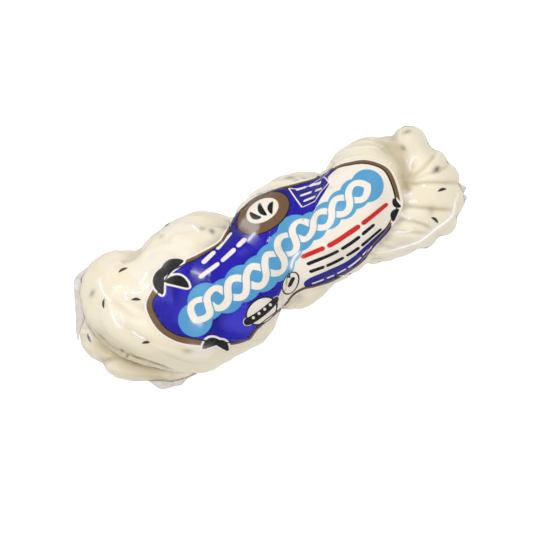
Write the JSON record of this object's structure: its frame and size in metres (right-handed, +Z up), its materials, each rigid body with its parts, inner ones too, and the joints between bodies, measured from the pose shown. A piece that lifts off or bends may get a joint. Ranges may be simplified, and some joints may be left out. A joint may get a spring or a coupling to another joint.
{
  "type": "braided string cheese",
  "caption": "Hand-twisted rope of soft white string cheese with caraway seeds, sealed skin-tight in clear printed film with crimped fringes at both ends",
  "frame": {"origin": "on the resting plane under the middle of the pack's box", "axes": "+X along the rope from the folded end to the fanned end, +Y across it, +Z up through the printed side"},
  "size_m": [0.1872, 0.0678, 0.0519],
  "materials": {
    "wrapped_cheese": "cream cheese under clear glossy printed film",
    "cheese": "smooth, moist, slightly translucent cream",
    "film": "clear glossy skin film with fine wrinkles",
    "print": "glossy ink in flat fields of blue, white, sky blue, brown, black and red",
    "seed": "dark ridged caraway"
  },
  "bodies": {
    "root": {"wrapped_braid": "wrapped_cheese"}
  },
  "joints": []
}
